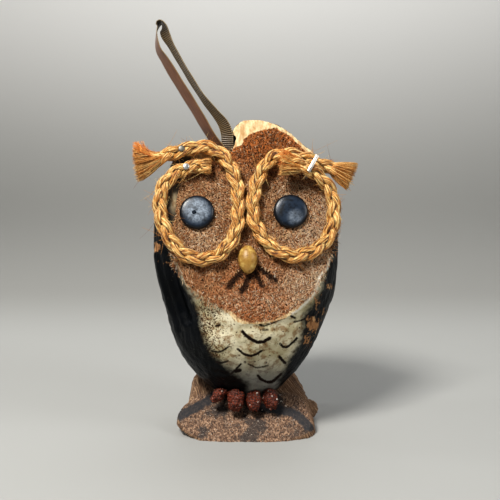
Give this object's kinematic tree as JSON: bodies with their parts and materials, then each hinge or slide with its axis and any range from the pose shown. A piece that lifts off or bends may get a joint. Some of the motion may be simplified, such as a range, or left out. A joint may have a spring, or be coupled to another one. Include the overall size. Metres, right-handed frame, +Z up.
{
  "type": "coconut husk owl",
  "caption": "Folk-craft owl made from a whole dried coconut husk, with rope rings round its eyes, a seed beak, painted wings and a ribbon loop.",
  "frame": {"origin": "under the middle of the owl's box without the ribbon, on the surface that it stands on", "axes": "+Z up, the owl looks along -Y, and +X is to the right for someone who faces it"},
  "size_m": [0.1668, 0.1194, 0.315],
  "materials": {
    "painted_husk": "fibrous bare cut face; glossy black and off-white paint on the skin, worn",
    "bare_husk": "fibrous, matt, stained",
    "rope": "coarse plant fibre, frayed ends",
    "eye": "black with a pale bloom",
    "seed": "smooth satin seed",
    "steel": "a little tarnished",
    "ribbon": "satin on one side, ribbed on the other",
    "toe_pile": "stiffened with glue, glossy"
  },
  "bodies": {
    "root": {"husk_body": "painted_husk", "husk_base": "bare_husk", "left_eye_rope": "rope", "right_eye_rope": "rope", "left_eye_disc": "eye", "right_eye_disc": "eye", "beak_seed": "seed", "upper_brow_nail": "steel", "lower_brow_nail": "steel", "brow_staple": "steel", "left_outer_toe": "toe_pile", "left_inner_toe": "toe_pile", "right_inner_toe": "toe_pile", "right_outer_toe": "toe_pile", "ribbon_loop": "ribbon"}
  },
  "joints": []
}
